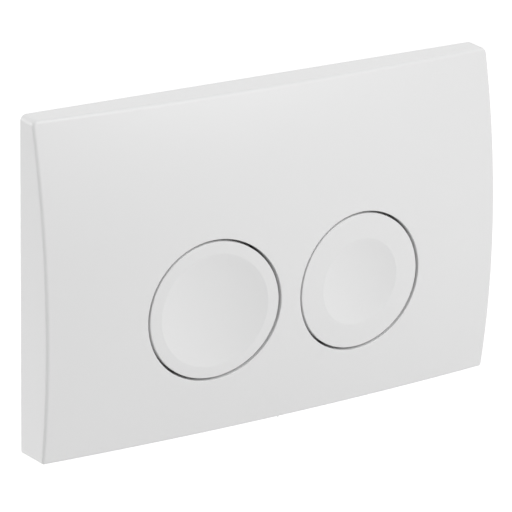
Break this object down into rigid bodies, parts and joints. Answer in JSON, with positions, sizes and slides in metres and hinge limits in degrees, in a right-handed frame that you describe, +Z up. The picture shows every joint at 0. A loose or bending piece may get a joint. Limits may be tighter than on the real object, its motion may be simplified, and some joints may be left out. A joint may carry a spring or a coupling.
{
  "type": "flush button plate",
  "caption": "Wall plate for a concealed cistern with a bulged white cover, a full and a half flush button, springs, push rods, mounting frame and spacer bolts.",
  "frame": {"origin": "on the finished wall, at the middle of the plate", "axes": "+X to the right across the plate, +Y into the wall, +Z up; the face looks along -Y"},
  "size_m": [0.246, 0.0828, 0.164],
  "materials": {
    "white_plastic": "smooth semi-gloss",
    "frame_plastic": "fine matte moulding",
    "guide_plastic": "satin",
    "rod_plastic": "satin",
    "spring_steel": "drawn wire",
    "rubber": "matte"
  },
  "bodies": {
    "plate": {"cover_plate": "white_plastic", "mounting_frame": "frame_plastic", "spacer_bolts": "rod_plastic", "bolt_lock_nuts": "guide_plastic", "full_spring_carrier": "frame_plastic", "half_spring_carrier": "frame_plastic", "full_stop_ring": "rubber", "half_stop_ring": "rubber", "full_rod_guide": "guide_plastic", "half_rod_guide": "guide_plastic", "full_return_spring": "spring_steel", "half_return_spring": "spring_steel"},
    "full_flush": {"full_flush_button": "white_plastic", "full_push_rod": "rod_plastic", "full_rod_nut": "guide_plastic", "full_rod_damper": "rubber"},
    "half_flush": {"half_flush_button": "white_plastic", "half_push_rod": "rod_plastic", "half_rod_nut": "guide_plastic", "half_rod_damper": "rubber"}
  },
  "joints": [
    {"name": "full_press", "type": "slide", "parent": "plate", "child": "full_flush", "axis": [0, 1, 0], "range_m": [0, 0.006], "stiffness_N_per_m": 500, "springref_m": -0.012, "deforming": ["full_return_spring"]},
    {"name": "half_press", "type": "slide", "parent": "plate", "child": "half_flush", "axis": [0, 1, 0], "range_m": [0, 0.006], "stiffness_N_per_m": 500, "springref_m": -0.012, "deforming": ["half_return_spring"]}
  ]
}
